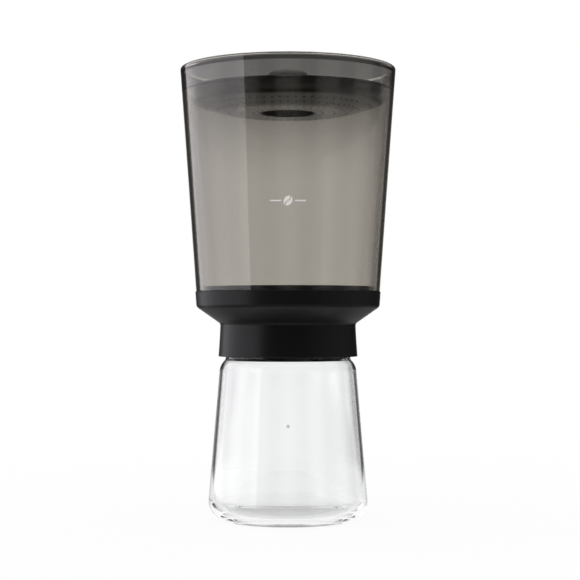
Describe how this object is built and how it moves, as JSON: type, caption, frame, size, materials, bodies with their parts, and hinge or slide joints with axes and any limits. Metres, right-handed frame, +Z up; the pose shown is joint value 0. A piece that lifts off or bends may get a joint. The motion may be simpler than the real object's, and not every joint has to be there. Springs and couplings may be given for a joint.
{
  "type": "cold brew coffee maker",
  "caption": "Tapered smoke-tinted brewing container with a perforated rain dish and mesh filter on a glass carafe, with a drain valve that opens as it docks.",
  "frame": {"origin": "centre of the carafe's foot, on the surface that it stands on", "axes": "+Z up along the axis of every round piece; the printed marks face -Y"},
  "size_m": [0.1248, 0.1248, 0.2618],
  "materials": {
    "clear_glass": "clear blown glass, polished",
    "smoke_plastic": "see-through smoke grey plastic, glossy",
    "black_plastic": "black, fine satin",
    "dark_plastic": "dark, satin, food grade",
    "dish_plastic": "dark, half gloss, food grade",
    "black_silicone": "soft, matte",
    "grey_silicone": "soft, matte",
    "white_plastic": "natural acetal",
    "spring_steel": "bright stainless wire",
    "steel_mesh": "fine woven stainless mesh"
  },
  "bodies": {
    "carafe": {"glass_carafe": "clear_glass"},
    "brewer": {"brewing_container": "smoke_plastic", "base_collar": "black_plastic", "valve_body": "dark_plastic", "container_gasket": "black_silicone", "clamp_nut": "dark_plastic"},
    "valve": {"valve_stem": "white_plastic", "valve_seal": "grey_silicone", "valve_spring": "spring_steel", "valve_actuator": "dark_plastic", "actuator_pad": "black_silicone", "stem_clip": "spring_steel"},
    "filter": {"filter_frame": "dark_plastic", "filter_mesh": "steel_mesh", "filter_gasket": "black_silicone", "filter_grip": "dark_plastic"},
    "rainmaker": {"rainmaker_dish": "dish_plastic", "rainmaker_knob": "dish_plastic"}
  },
  "joints": [
    {"name": "brewer_lift", "type": "slide", "parent": "carafe", "child": "brewer", "axis": [0, 0, 1], "range_m": [0, 0.02]},
    {"name": "valve_travel", "type": "slide", "parent": "brewer", "child": "valve", "axis": [0, 0, 1], "range_m": [-0.004, 0], "deforming": ["valve_spring"]},
    {"name": "filter_lift", "type": "slide", "parent": "brewer", "child": "filter", "axis": [0, 0, 1], "range_m": [0, 0.095]},
    {"name": "rainmaker_lift", "type": "slide", "parent": "brewer", "child": "rainmaker", "axis": [0, 0, 1], "range_m": [0, 0.04]}
  ],
  "couplings": [
    {"joint": "valve_travel", "follows": "brewer_lift", "ratio": -0.2}
  ]
}
